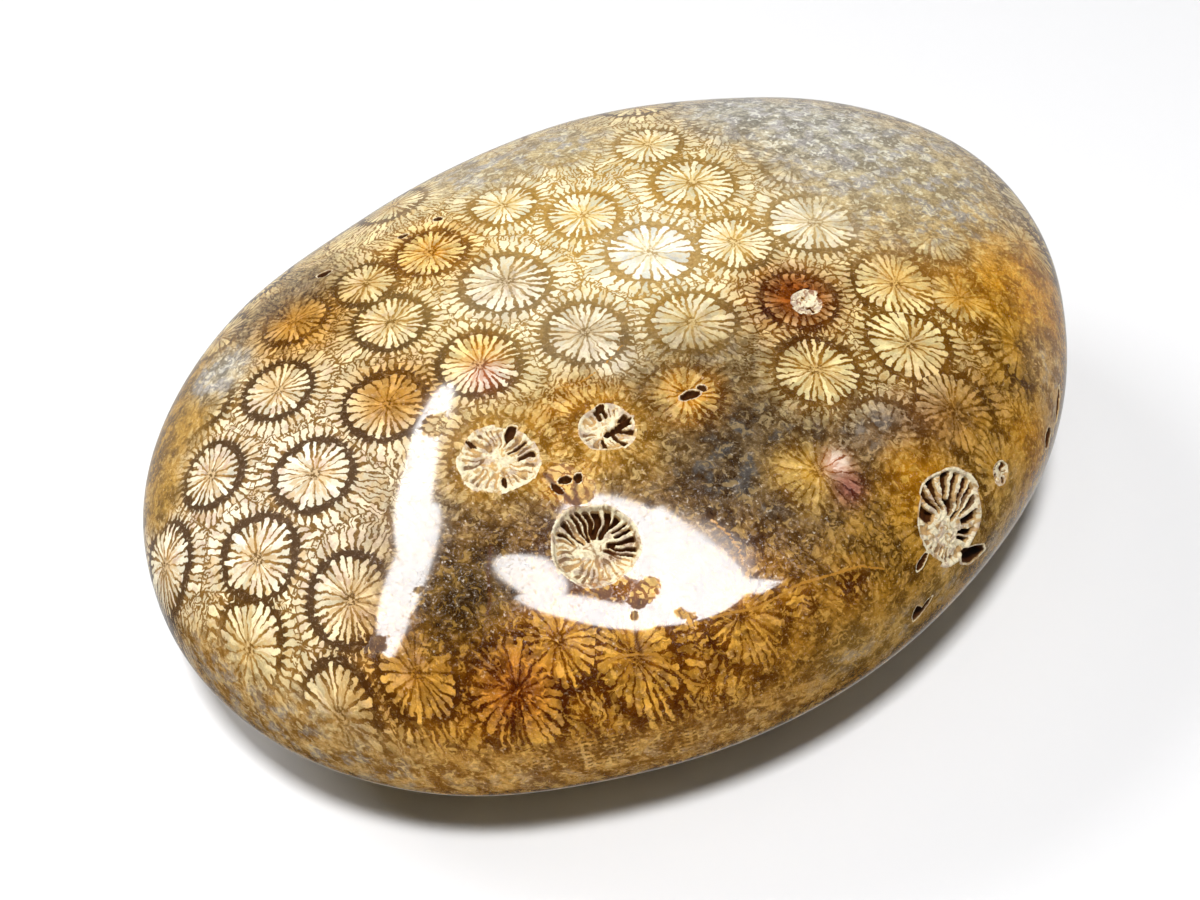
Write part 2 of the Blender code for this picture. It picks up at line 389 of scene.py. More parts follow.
# Kind, half width in mm, then pixels of the photo from end to end
VEINS = (
    (PALE, 0.10, (
        (715, 617), (729, 613), (757, 608), (779, 596), (802, 583), (831, 575), (860, 566), (885, 569),
    )),
    (PALE, 0.10, ((799, 584), (805, 582))),
    (PALE, 0.05, ((885, 569), (890, 577), (898, 597), (903, 616))),
    (DARK, 0.10, ((491, 546), (488, 572), (490, 600), (487, 616))),
    (PALE, 0.11, ((600, 668), (618, 657), (636, 654), (656, 654), (671, 667), (690, 683), (706, 686))),
    (DARK, 0.14, ((640, 600), (636, 612), (635, 626), (637, 642), (642, 654))),
    (DARK, 0.06, ((668, 564), (680, 576), (697, 592), (716, 609))),
    (PALE, 0.06, ((556, 389), (574, 386), (592, 375), (608, 361), (624, 343))),
    (PALE, 0.09, ((712, 520), (727, 533), (739, 548), (743, 565))),
    (DARK, 0.16, ((545, 474), (556, 487), (566, 496), (577, 507))),
    (DARK, 0.14, ((577, 479), (574, 492), (580, 508))),
)

# Unpolished places, where no light mirrors: pixel of the photo and radius in mm
DULL_PLACES = (
    ((578, 490), 1.1), ((562, 478), 1.0), ((648, 590), 0.8), ((638, 600), 0.6), ((634, 616), 0.3),
    ((437, 425), 1.0), ((690, 617), 0.45), ((676, 612), 0.3), ((420, 590), 0.4), ((415, 620), 0.3),
    ((603, 592), 0.6), ((380, 642), 0.5), ((372, 650), 0.45),
)

# Places low on the side that show rows of small cross-walls
RUNG_PLACES = (((592, 752), 1.8), ((615, 748), 1.6), ((676, 741), 1.8), ((545, 764), 1.2))


def spot_share(points, places):
    """Soft round spots on the skin, as a share from 0 to 1 at each point."""
    share = np.zeros(len(points))
    for (x, y), radius in places:
        away = ((points - SKIN.under(x, y)[0]) ** 2).sum(1) / radius**2
        share = np.maximum(share, 1 - step_up(0.5, 1.5, away))
    return share


def vein_paths():
    """Each vein's kind, half width and dense run of points on the skin."""
    paths = []
    for kind, half_width, pixels in VEINS:
        run = []
        for (xa, ya), (xb, yb) in zip(pixels, pixels[1:]):
            steps = max(2, int(math.hypot(xb - xa, yb - ya) / 2))
            for k in range(steps):
                share = k / steps
                run.append(SKIN.under(xa + (xb - xa) * share, ya + (yb - ya) * share)[0])
        paths.append((kind, half_width, np.array(run)))
    return paths


VEIN_PATHS = vein_paths()


def distance_to(points, run):
    """Distance from each point to the nearest point of a run."""
    best = np.full(len(points), 1e9)
    for spot in run:
        best = np.minimum(best, ((points - spot) ** 2).sum(1))
    return np.sqrt(best)


# ---- tints
def linear(colour):
    """Linear light from an sRGB colour given as 0 to 255."""
    share = np.array(colour, float) / 255
    return np.where(share <= 0.04045, share / 12.92, ((share + 0.055) / 1.055) ** 2.4)


def paint(red, green, blue):
    """The same as a plain tuple, which a shader's socket takes."""
    return tuple(linear((red, green, blue)))


BLUSH = paint(206, 178, 168)
CRUST_WHITE, CRUST_ROSE = paint(246, 236, 206), paint(210, 192, 172)
CRYSTAL_PALE, CRYSTAL_DARK = paint(208, 174, 116), paint(132, 98, 48)
# painted shade: dark brown that stands for the shade in the depths of open cells and holes
PAINTED_CELL_SHADE = paint(84, 46, 14)
VEIN_GOLD, VEIN_BROWN = paint(206, 158, 76), paint(104, 60, 16)


# Looks of the coral: petals, gaps between them, rims of the stars, ground, clearness of
# the stars from 0 to 1 and width of the dark ring from 0 to 1
LOOKS = {
    "plain": ((250, 232, 180), (140, 108, 56), (110, 84, 46), (200, 160, 90), 0.85, 0.6),
    "ringed": ((255, 248, 228), (134, 106, 68), (116, 94, 72), (204, 166, 106), 1.1, 1.0),
    "gilded": ((255, 252, 226), (192, 154, 84), (190, 164, 108), (232, 202, 130), 1.05, 0.30),
    "white": ((255, 255, 248), (204, 178, 130), (176, 156, 118), (240, 226, 186), 1.1, 0.3),
    "pearl": ((252, 244, 224), (158, 134, 98), (150, 132, 106), (206, 184, 146), 0.85, 0.5),
    "fog": ((244, 236, 208), (190, 174, 142), (170, 152, 120), (206, 190, 152), 0.05, 0.1),
    "slate": ((252, 250, 238), (172, 166, 152), (150, 146, 134), (206, 200, 182), 0.05, 0.1),
    "haze": ((240, 200, 100), (178, 124, 14), (152, 104, 10), (216, 160, 40), 0.35, 0.4),
    "bronze": ((226, 184, 96), (104, 72, 6), (84, 58, 6), (172, 130, 34), 0.50, 0.5),
    "amber": ((255, 226, 150), (140, 86, 0), (116, 66, 0), (214, 152, 34), 0.70, 0.5),
    "burnt": ((255, 226, 168), (112, 56, 0), (84, 36, 0), (172, 112, 18), 0.80, 0.9),
    "dusk": ((166, 146, 112), (86, 66, 42), (72, 56, 42), (114, 96, 70), 0.15, 0.3),
    "lilac": ((200, 182, 166), (104, 84, 66), (92, 74, 58), (138, 116, 96), 0.2, 0.3),
    # low right front: own golden colour, lightened as painted light in place of the fill that doesn't reach
    # it
    "flank_with_painted_light": ((212, 168, 88), (136, 98, 26), (112, 80, 22), (182, 140, 58), 0.15, 0.2),
    "night": ((154, 126, 66), (84, 62, 22), (70, 50, 16), (112, 88, 42), 0.10, 0.2),
    # low right side: own beige colour, lightened as painted light in place of the fill that doesn't reach it
    "beige_with_painted_light": ((230, 198, 130), (174, 142, 80), (156, 124, 66), (210, 176, 112), 0.10, 0.1),
    "pale": ((240, 214, 160), (178, 138, 76), (158, 120, 60), (214, 180, 122), 0.12, 0.1),
    "olive": ((208, 174, 94), (152, 118, 42), (130, 98, 34), (186, 150, 66), 0.10, 0.2),
    "rosy": ((255, 240, 226), (146, 84, 54), (108, 60, 42), (196, 128, 84), 0.9, 0.5),
    "wine": ((206, 150, 128), (100, 48, 36), (88, 40, 34), (124, 76, 56), 0.50, 0.3),
    "resin": ((255, 206, 104), (112, 62, 0), (86, 42, 0), (164, 110, 12), 0.55, 0.5),
    "ember": ((246, 178, 84), (94, 38, 0), (62, 22, 0), (130, 70, 2), 0.42, 0.4),
    "socket": ((240, 212, 150), (150, 112, 38), (140, 104, 42), (194, 152, 68), 0.40, 0.1),
    "honey": ((242, 210, 134), (146, 104, 26), (124, 88, 24), (202, 160, 66), 0.60, 0.2),
    "rust": ((196, 120, 50), (100, 50, 6), (84, 38, 6), (130, 74, 14), 0.25, 0.1),
    "band": ((248, 212, 142), (180, 134, 64), (148, 104, 46), (222, 180, 108), 0.10, 0.1),
    "tawny": ((240, 190, 100), (120, 76, 8), (98, 60, 8), (178, 128, 40), 0.60, 0.5),
    "straw": ((255, 242, 192), (140, 100, 34), (112, 80, 30), (202, 160, 82), 0.90, 0.4),
}

# Stains: pixel of the photo (two numbers), radius in mm, strength and look
STAINS = (
    (600, 230, 15.0, 1.0, "gilded"), (250, 520, 14.0, 1.0, "ringed"), (505, 290, 3.6, 0.9, "pearl"),
    (585, 335, 3.6, 0.8, "pearl"), (650, 250, 3.5, 1.0, "white"), (820, 215, 4.5, 0.6, "white"),
    (700, 480, 11.0, 0.95, "dusk"), (840, 440, 10.0, 0.95, "dusk"), (885, 425, 3.5, 0.9, "lilac"),
    (480, 560, 7.0, 0.95, "dusk"), (1000, 300, 9.0, 1.0, "haze"), (932, 235, 3.0, 0.9, "straw"),
    (1030, 360, 5.0, 0.9, "bronze"), (950, 400, 4.0, 0.8, "wine"), (910, 335, 6.0, 0.9, "straw"),
    (820, 375, 4.0, 0.9, "straw"), (900, 170, 9.0, 1.0, "fog"), (820, 130, 7.0, 1.0, "slate"),
    (740, 110, 5.0, 1.0, "slate"), (790, 300, 4.0, 1.0, "burnt"), (640, 690, 10.0, 1.0, "resin"),
    (500, 700, 9.0, 1.0, "resin"), (510, 690, 3.0, 1.0, "ember"), (760, 640, 6.0, 0.9, "resin"),
    (418, 672, 4.0, 0.8, "tawny"), (860, 650, 8.0, 0.9, "flank_with_painted_light"), (940, 590, 6.0, 0.9, "flank_with_painted_light"),
    (900, 530, 5.0, 0.8, "bronze"), (920, 480, 3.0, 0.8, "haze"), (1000, 440, 6.0, 0.8, "bronze"),
    (572, 425, 3.0, 1.0, "amber"), (590, 400, 2.5, 0.7, "amber"), (1040, 300, 4.0, 0.8, "haze"),
    (430, 250, 4.0, 0.9, "amber"), (300, 325, 4.0, 0.9, "tawny"), (395, 392, 3.2, 0.9, "tawny"),
    (480, 350, 1.8, 0.8, "amber"), (487, 378, 1.6, 1.0, "rosy"), (165, 440, 4.6, 1.0, "olive"),
    (190, 390, 4.0, 0.9, "olive"), (480, 172, 4.0, 0.9, "fog"), (560, 145, 4.0, 0.9, "fog"),
    (240, 650, 5.0, 0.7, "straw"), (214, 680, 4.5, 0.95, "pale"), (290, 738, 5.0, 0.95, "pale"),
    (385, 776, 4.0, 0.9, "pale"), (455, 782, 3.4, 1.0, "band"), (520, 778, 3.2, 1.0, "band"),
    (585, 768, 3.2, 1.0, "band"), (645, 756, 3.0, 1.0, "band"), (705, 740, 3.0, 0.9, "band"),
    (765, 715, 2.6, 0.8, "band"), (820, 685, 2.4, 0.7, "band"), (499, 457, 4.2, 0.95, "socket"),
    (612, 440, 3.8, 0.95, "socket"), (690, 395, 2.4, 0.9, "amber"), (806, 474, 2.4, 1.0, "honey"),
    (836, 464, 1.1, 1.0, "rosy"), (850, 488, 1.3, 1.0, "wine"), (797, 296, 2.5, 1.0, "rust"),
    (800, 602, 1.4, 0.8, "resin"), (850, 586, 1.6, 0.8, "resin"), (612, 362, 1.5, 0.8, "pearl"),
    (566, 486, 1.7, 1.0, "amber"), (645, 594, 2.2, 1.0, "amber"), (1050, 370, 2.6, 0.9, "pale"),
    (1050, 425, 2.6, 0.9, "pale"), (1028, 470, 4.0, 0.9, "haze"), (1000, 535, 3.2, 0.9, "beige_with_painted_light"),
    (158, 500, 2.6, 1.0, "olive"), (455, 600, 3.6, 0.85, "night"), (500, 575, 2.6, 0.8, "night"),
    (950, 580, 3.0, 0.9, "beige_with_painted_light"), (900, 630, 3.0, 0.9, "beige_with_painted_light"), (850, 655, 2.6, 0.8, "beige_with_painted_light"),
    (1015, 480, 2.2, 0.8, "beige_with_painted_light"), (222, 372, 2.4, 0.8, "slate"), (305, 283, 3.2, 0.6, "dusk"),
    (255, 322, 2.4, 0.5, "dusk"),
)
STAR_NAMES = ("star_a", "star_b", "star_c")
TINTS = ("petal_tint", "gap_tint", "rim_tint", "ground_tint")


def tint_fields(points):
    """Four colours, clearness and ring at each point."""

    def values(look):
        *colours, clear, ring = LOOKS[look]
        return [linear(colour) for colour in colours] + [clear, ring]

    fields = [np.tile(value, (len(points), 1)) for value in values("plain")]
    for x, y, radius, strength, look in STAINS:
        middle = SKIN.under(x, y)[0]
        away = ((points - middle) ** 2).sum(1) / radius**2
        share = (strength * np.exp(-(away**1.5)))[:, None]
        fields = [field + (goal - field) * share for field, goal in zip(fields, values(look))]
    return fields


# ---- the fine mesh
def near_detail(points, margin, veins):
    """Which points lie at an open calice or, where veins count, along a vein."""
    hit = np.zeros(len(points), bool)
    for hollow in HOLLOWS:
        hit |= ((points - hollow.middle) ** 2).sum(1) < (hollow.reach + margin) ** 2
    for _, half_width, run in VEIN_PATHS if veins else ():
        hit |= distance_to(points, run) < half_width + margin
    return hit


def refine(ball, margin, veins=True):
    """Split the faces whose middles lie at a detail into four."""
    ways = np.array([f.calc_center_median() for f in ball.faces])
    ways /= np.linalg.norm(ways, axis=1)[:, None]
    chosen = near_detail(worn_form(ways), margin, veins)
    edges = {e for f, hit in zip(ball.faces, chosen) if hit for e in f.edges}
    bmesh.ops.subdivide_edges(ball, edges=list(edges), cuts=1, use_grid_fill=True)
    bmesh.ops.triangulate(ball, faces=[f for f in ball.faces if len(f.verts) > 3])


DETAIL_MARGINS = (0.4, 0.15)  # mm beside calices and veins where the first two rounds refine
HOLLOW_MARGIN = -0.1  # the last round keeps inside the calices' reach


def fine_directions():
    """Directions and triangles of the fine mesh, densest in the open calices."""
    ball = bmesh.new()
    bmesh.ops.create_icosphere(ball, subdivisions=SPHERE_STEPS, radius=1.0)
    for margin in DETAIL_MARGINS:
        refine(ball, margin)
    refine(ball, HOLLOW_MARGIN, veins=False)
    return opened_ball(ball)


def sink_hollows(points):
    """Press the open calices in; returns points, cell openness and inside-ness."""
    cells, inside = np.zeros(len(points)), np.zeros(len(points))
    sunk = points.copy()
    for hollow in HOLLOWS:
        near = np.nonzero(((points - hollow.middle) ** 2).sum(1) < (hollow.reach * 1.3) ** 2)[0]
        x, y = hollow.local(points[near])
        depth, cell, within = hollow.relief(x, y)
        sunk[near] -= hollow.normal * depth[:, None]
        cells[near] = np.maximum(cells[near], cell)
        inside[near] = np.maximum(inside[near], within)
    return sunk, cells, inside


def nearest_stars(places, stars, count=3):
    """The corallites nearest to each place, for their own sizes."""
    away = np.hypot(places[:, None, 0] - stars[None, :, 0], places[:, None, 1] - stars[None, :, 1])
    order = np.argsort(away / stars[None, :, 2], axis=1)[:, :count]
    return stars[order]


def put(mesh, name, values, domain="POINT"):
    """Store numbers or vectors on the mesh as an attribute."""
    vectors = np.shape(values)[-1] == 3
    attribute = mesh.attributes.new(name, "FLOAT_VECTOR" if vectors else "FLOAT", domain)
    flat = np.ascontiguousarray(values, dtype=np.float32).ravel()
    attribute.data.foreach_set("vector" if vectors else "value", flat)


def vein_share(points, wanted):
    """How far each point lies in a vein of the wanted kind, from 0 to 1."""
    share = np.zeros(len(points))
    for kind, half_width, run in VEIN_PATHS:
        if kind == wanted:
            share = np.maximum(share, 1 - step_up(0.4, 1.6, distance_to(points, run) / half_width))
    return share


def make_stone():
    """The fine mesh with everything that its material reads."""
    ways, corners = fine_directions()
    whole = worn_form(ways)
    sunk, cells, inside = sink_hollows(whole)
    sunk[:, 2] = np.maximum(sunk[:, 2], 0.0)
    shift = np.append(-(sunk[:, :2].min(0) + sunk[:, :2].max(0)) / 2, 0.0)
    mesh = bpy.data.meshes.new("coral_stone")
    mesh.from_pydata(((sunk + shift) * MM).tolist(), [], corners.tolist())
    put(mesh, "growth", growth(whole))
    near = nearest_stars(growth(whole[corners].mean(1)), star_list())
    for k, name in enumerate(STAR_NAMES):
        put(mesh, name, near[:, k], "FACE")
    for name, values in zip(TINTS + ("clearness", "ring"), tint_fields(whole)):
        put(mesh, name, values)
    put(mesh, "cells", cells)
    put(mesh, "inside", inside)
    put(mesh, "dull", spot_share(whole, DULL_PLACES))
    put(mesh, "rungs", spot_share(whole, RUNG_PLACES))
    put(mesh, "pale_vein", vein_share(whole, PALE))
    put(mesh, "dark_vein", vein_share(whole, DARK))
    mesh.shade_smooth()
    stone = bpy.data.objects.new("coral_stone", mesh)
    bpy.context.collection.objects.link(stone)
    return stone, shift


# ---- nodes
class Wire:
    """A float in a node tree, with arithmetic."""

    def __init__(self, graph, socket):
        self.graph, self.socket = graph, socket

    def __lt__(self, other):
        return self.graph.math("LESS_THAN", self, other)

    def __abs__(self):
        return self.graph.math("ABSOLUTE", self)


def arithmetic(operation):
    """An operator of a wire, and the same with the wire on its right."""

    def forward(self, other):
        return self.graph.math(operation, self, other)

    def backward(self, other):
        return self.graph.math(operation, other, self)

    return forward, backward


Wire.__add__, Wire.__radd__ = arithmetic("ADD")
Wire.__sub__, Wire.__rsub__ = arithmetic("SUBTRACT")
Wire.__mul__, Wire.__rmul__ = arithmetic("MULTIPLY")
Wire.__truediv__, _ = arithmetic("DIVIDE")


class Graph:
    """The node tree of a material, a light or the world, built by calls."""

    def __init__(self, owner):
        owner.use_nodes = True
        self.owner, self.tree = owner, owner.node_tree

    def feed(self, socket, value):
        if isinstance(value, Wire):
            value = value.socket
        if isinstance(value, bpy.types.NodeSocket):
            self.tree.links.new(value, socket)
        else:
            socket.default_value = value

    def add(self, kind, *values, **settings):
        """A new node with its settings, and its inputs fed in order."""
        node = self.tree.nodes.new(kind)
        for name, value in settings.items():
            setattr(node, name, value)
        for socket, value in zip(node.inputs, values):
            self.feed(socket, value)
        return node

    def math(self, operation, *values):
        return Wire(self, self.add("ShaderNodeMath", *values, operation=operation).outputs[0])

    def vector(self, operation, *values):
        return self.add("ShaderNodeVectorMath", *values, operation=operation)

    def step(self, value, low, high, start=0.0, end=1.0):
        """Smooth run from start, where the value is low, to end, where it is high."""
        span = (value, low, high, start, end)
        node = self.add("ShaderNodeMapRange", *span, interpolation_type="SMOOTHSTEP")
        return Wire(self, node.outputs["Result"])

    def blend(self, share, first, second):
        """Colour mix: first at share 0, second at share 1."""
        node = self.add("ShaderNodeMix", share, data_type="RGBA")
        for socket, value in ((node.inputs[6], first), (node.inputs[7], second)):
            self.feed(socket, (*value, 1.0) if isinstance(value, tuple) else value)
        return node.outputs[2]

    def choose(self, test, first, second):
        """The first vector where the test is 1, and the second where it is 0."""
        node = self.add("ShaderNodeMix", test, data_type="VECTOR")
        self.feed(node.inputs[4], second)
        self.feed(node.inputs[5], first)
        return node.outputs[1]

    def shade(self, colour, value):
        """Colour times a float."""
        node = self.vector("SCALE", colour)
        self.feed(node.inputs["Scale"], value)
        return node.outputs[0]

    def grey(self, colour):
        """Lightness of a colour, a little warm."""
        light = Wire(self, self.add("ShaderNodeRGBToBW", colour).outputs[0])
        return self.join(*[light * tone for tone in (1.03, 0.98, 0.95)])

    def deepen(self, colour):
        """More contrast and depth of colour."""
        return self.shade(self.add("ShaderNodeGamma", colour, DEPTH).outputs[0], GAIN)

    def attribute(self, name, output="Vector"):
        """What the mesh carries under a name."""
        return self.add("ShaderNodeAttribute", attribute_name=name).outputs[output]

    def value(self, name):
        return Wire(self, self.attribute(name, "Fac"))

    def split(self, vector):
        return [Wire(self, part) for part in self.add("ShaderNodeSeparateXYZ", vector).outputs]

    def join(self, x, y, z):
        return self.add("ShaderNodeCombineXYZ", x, y, z).outputs[0]

    def number(self, turns, count):
        """Whole part of a count of turns, the same again after each full round."""
        return self.math("FLOORED_MODULO", self.math("FLOOR", turns), count)

    def noise(self, place, scale, detail=2.0, roughness=0.5, swirl=0.0):
        node = self.add("ShaderNodeTexNoise", place, noise_dimensions="3D")
        numbers = {"Scale": scale, "Detail": detail, "Roughness": roughness, "Distortion": swirl}
        for name, number in numbers.items():
            node.inputs[name].default_value = number
        return Wire(self, node.outputs["Fac"])

    def chance(self, x, y):
        """A fixed random number from 0 to 1 for each pair of numbers."""
        node = self.add("ShaderNodeTexWhiteNoise", self.join(x, y, 0.0), noise_dimensions="2D")
        return Wire(self, node.outputs["Value"])


# ---- the coral's pattern and colours
TURN = 2 * math.pi
DEPTH, GAIN = 1.32, 0.80  # contrast and lightness of the stone's colours
PETAL_STEPS = 4  # petals come in fours, so that pairs close round the star
FEWEST_PETALS = 24
MORE_TEETH = 14


def two_nearest(g, x, y):
    """Offset and radius of the nearest star and of the next one, each with its share."""
    found = []
    for name in STAR_NAMES:
        sx, sy, radius = g.split(g.attribute(name))
        dx, dy = x - sx, y - sy
        found.append((g.join(dx, dy, radius), g.math("SQRT", dx * dx + dy * dy) / radius))

    def pick(test, first, second):
        return g.choose(test, first[0], second[0]), second[1] + (first[1] - second[1]) * test

    a, b, c = found
    a_first = a[1] < b[1]
    low, high = pick(a_first, a, b), pick(a_first, b, a)
    c_first = c[1] < low[1]
    first, middle = pick(c_first, c, low), pick(c_first, low, c)
    second = pick(middle[1] < high[1], middle, high)
    return first, second


def round_star(g, offset, bend):
    """Angle round a star from its own start, its radius and its number of petals."""
    dx, dy, radius = g.split(offset)
    turn = g.chance(radius, 1.0) * TURN
    cosine, sine = g.math("COSINE", turn), g.math("SINE", turn)
    angle = g.math("ARCTAN2", dx * sine + dy * cosine, dx * cosine - dy * sine) + bend
    petals = g.math("FLOOR", g.chance(radius, 2.0) * 1.99) * PETAL_STEPS + FEWEST_PETALS
    return angle, radius, petals


def ribs(g, angle, radius, petals, share, border, ring):
    """Depth in mm inside the ribs that run out from a star, and each rib's chance."""
    count = petals + MORE_TEETH
    turns = angle * count / TURN
    number = g.number(turns, count)
    chance = g.chance(number * 2.41 + 0.5, radius + 5.0)
    other = g.chance(number * 1.37 + 0.5, radius + 9.0)
    across = g.math("FRACT", turns) - 0.5
    width = share * radius * TURN / count
    start = ring * 0.07 + 1.02 + chance * 0.10
    inward = (share - start) * radius
    outward = border + other * 0.50 - 0.15
    notch = (1 - g.step(inward, 0.0, 0.60)) * 0.10 + (1 - g.step(outward, 0.0, 0.55)) * 0.08
    side = (0.5 - abs(across)) * width - notch - other * other * 0.045 - 0.036
    split = g.step(inward, chance * 0.5 + 0.65, chance * 0.5 + 1.0)
    split_edge = abs(across) * width - 0.040 + (1 - split) * 0.4
    edge = g.math("MINIMUM", side, split_edge)
    return g.math("MINIMUM", edge, g.math("MINIMUM", inward, outward)), chance


def star_pattern(g, place, x, y, ring):
    """How light the skeleton is at a place, and what part of a star it is."""
    (near, share), (far, far_share) = two_nearest(g, x, y)
    sway = g.noise(place, 1.6, 2.0)
    bend = (sway - 0.5) * 0.20
    angle, radius, petals = round_star(g, near, bend)
    distance = share * radius
    rough = g.noise(place, 3.2, 2.0)

    # petals: whole ones reach the middle, and a late septum parts most of them
    pairs = angle * petals / (2 * TURN)
    pair = g.number(pairs, petals * 0.5)
    across = g.math("FRACT", pairs) - 0.5
    pair_chance = g.chance(pair * 3.17 + 0.5, radius)
    late_chance = g.chance(pair * 5.03 + 0.5, radius + 2.0)
    pair_width = distance * (2 * TURN) / petals
    broad = g.math("POWER", pair_chance, 2.5) * 0.085 + 0.026
    line = broad * (share * 0.7 + 0.35) * (rough * 1.8 + 0.1) * (1.8 - ring * 0.5)
    notch = g.step(share, 0.70, 1.0) * 0.06
    first_edge = (0.5 - abs(across)) * pair_width - line - notch
    start = late_chance * 0.45 + 0.30
    late = g.step(share, start, start + 0.12)
    late_edge = abs(across) * pair_width - line * 0.7 - notch + (1 - late) * 0.4
    half = g.math("FRACT", pairs * 2) - 0.5
    petal = g.number(pairs * 2, petals)
    petal_chance = g.chance(petal * 1.93 + 0.5, radius + 3.0)
    tip = petal_chance * 0.15 + 0.90 - half * half * 0.34 + (sway - 0.5) * 0.16
    rim_edge = (tip - share) * radius
    petal_edge = g.math("MINIMUM", g.math("MINIMUM", first_edge, late_edge), rim_edge)
    worn = (g.noise(place, 2.7, 3.0, 0.6) - 0.5) * 0.22
    petal_light = g.step(petal_edge + worn, -0.01, 0.05)

    # ribs: the septa run on outside the ring and mesh with those of the next star
    border = (far_share - share) * radius * 0.5
    own, own_chance = ribs(g, angle, radius, petals, share, border, ring)
    far_angle, far_radius, far_petals = round_star(g, far, bend)
    other, other_chance = ribs(g, far_angle, far_radius, far_petals, far_share, border * -1, ring)
    over = g.step(other, -0.12, -0.03)
    own_light = g.step(own + worn * 0.7, -0.01, 0.05) * (1 - over)
    other_light = g.step(other + worn * 0.7, -0.01, 0.05)
    rib_light = g.math("MAXIMUM", own_light, other_light)
    rib_chance = own_chance + (other_chance - own_chance) * over

    outside = g.step(share, 0.98, 1.04)
    piece = petal_chance + (rib_chance - petal_chance) * outside
    light = g.math("MAXIMUM", petal_light, rib_light)
    streaks = g.noise(g.join(pairs * 2.4, distance * 0.75, radius * 7.0), 1.5, 2.0)
    return light, share, piece, outside, streaks


class Layers:
    """Noises, tints and shares that the layers of the coral read."""

    def __init__(self, g, place, shifted):
        self.fine = g.noise(place, 4.0, 3.0, 0.6)
        self.grain = g.noise(place, 11.0, 2.0, 0.6)
        self.broad = g.noise(place, 0.5, 3.0, 0.55)
        self.patch = g.noise(place, 1.1, 4.0, 0.65)
        self.blotch = g.noise(shifted, 0.75, 4.0, 0.6)
        self.mottle = g.noise(place, 0.55, 4.0, 0.62)
        self.speckle = g.noise(shifted, 1.5, 3.0, 0.6, 1.0)
        tints = [g.attribute(name) for name in TINTS]
        self.petals, self.gaps, self.rims, ground = tints
        self.clearness, self.ring = g.value("clearness"), g.value("ring")
        hue = g.add("ShaderNodeSeparateColor", ground, mode="HSV")
        self.murk = 1 - g.step(Wire(g, hue.outputs[1]), 0.66, 0.86)
        self.grey = g.shade(g.grey(ground), 0.95)
        mist = g.step(self.blotch, 0.44, 0.62) * (1 - self.clearness)
        self.ochre = g.blend(mist * self.murk * 0.65, g.shade(ground, self.broad * 0.6 + 0.75), self.grey)


WANDER, RIPPLE, SHIVER = 0.60, 0.18, 0.09  # how far in mm the stars' lines stray


def strayed(g, place, along):
    """A coordinate with three sizes of unevenness."""
    along = along + (g.noise(place, 0.30, 1.0) - 0.5) * WANDER + (g.noise(place, 1.7, 1.0) - 0.5) * RIPPLE
    return along + (g.noise(place, 4.5, 1.0) - 0.5) * SHIVER


def skeleton_colour(g, f, pattern):
    """Stars: petals, gaps between them, dark rings and spongy middles."""
    light, share, piece, outside, streaks = pattern
    # petals and ribs: gold at the root, some pale and some stained
    petal = piece * 0.34 + 0.80 + (f.grain - 0.5) * 0.30 + (streaks - 0.5) * 0.3
    petal_colour = g.shade(f.petals, petal)
    inner = (1 - g.step(share, 0.15, 0.80)) * 0.22
    gilt = g.step(streaks + inner + (f.patch - 0.5) * 0.5 + (piece - 0.5) * -0.16, 0.53, 0.72)
    petal_colour = g.blend(gilt * 0.80, petal_colour, g.blend(0.30, f.ochre, f.petals))
    blush = g.step(f.blotch + (piece - 0.5) * 0.12, 0.52, 0.62) * f.ring * 0.5
    petal_colour = g.blend(blush, petal_colour, BLUSH)
    petal_colour = g.blend(outside * 0.12, petal_colour, f.ochre)
    gap_share = g.step(share, 0.35, 0.90) * (1 - outside) * 0.9 + outside * 0.6
    gap_colour = g.blend(0.35, g.blend(gap_share, f.ochre, f.gaps), f.gaps)
    in_ring = g.step(share, 0.84, 0.97) * (1 - g.step(share, 1.12, 1.30))
    dark = g.blend(in_ring * g.step(f.ring + (f.patch - 0.5) * 1.2, 0.15, 0.70), gap_colour, f.rims)
    dark = g.shade(dark, (f.fine - 0.5) * 0.8 + 1.0)
    skeleton = g.blend(light, dark, petal_colour)
    sponge = g.blend(g.step(f.fine, 0.44, 0.56), f.gaps, g.blend(0.45, f.ochre, f.petals))
    middle = 1 - g.step(share + (f.fine - 0.5) * 0.30, 0.10, 0.24)
    return g.blend(middle * 0.85, skeleton, sponge)


def matrix_colour(g, f):
    """Matrix: what shows where the stars are clouded over."""
    matrix = g.blend(g.step(f.mottle, 0.42, 0.58), f.gaps, f.ochre)
    matrix = g.blend(g.step(f.blotch, 0.48, 0.60) * f.murk * 0.7, matrix, f.grey)
    matrix = g.blend(g.step(f.speckle, 0.54, 0.63) * 0.8, matrix, f.petals)
    matrix = g.blend(g.step(f.speckle, 0.43, 0.36) * 0.6, matrix, f.rims)
    return g.shade(matrix, (f.fine - 0.5) * 0.9 + 1.0)


RUNG_WIDTH, RUNG_HEIGHT = 0.50, 0.44  # spacing of the cross-walls in mm


def rung_share(g, f, x, y, z):
    """Thin cross-walls between the corallites, cut lengthwise low on the side."""
    along_side = (x * RIGHT[0] + y * RIGHT[1]) / RUNG_WIDTH + f.broad * 1.6
    up_side = z / RUNG_HEIGHT + f.patch * 1.6
    bar = 1 - g.step(abs(g.math("FRACT", along_side) - 0.5), 0.24, 0.36)
    bar = bar * (1 - g.step(abs(g.math("FRACT", up_side) - 0.5), 0.16, 0.28))
    return bar * g.value("rungs") * 0.85


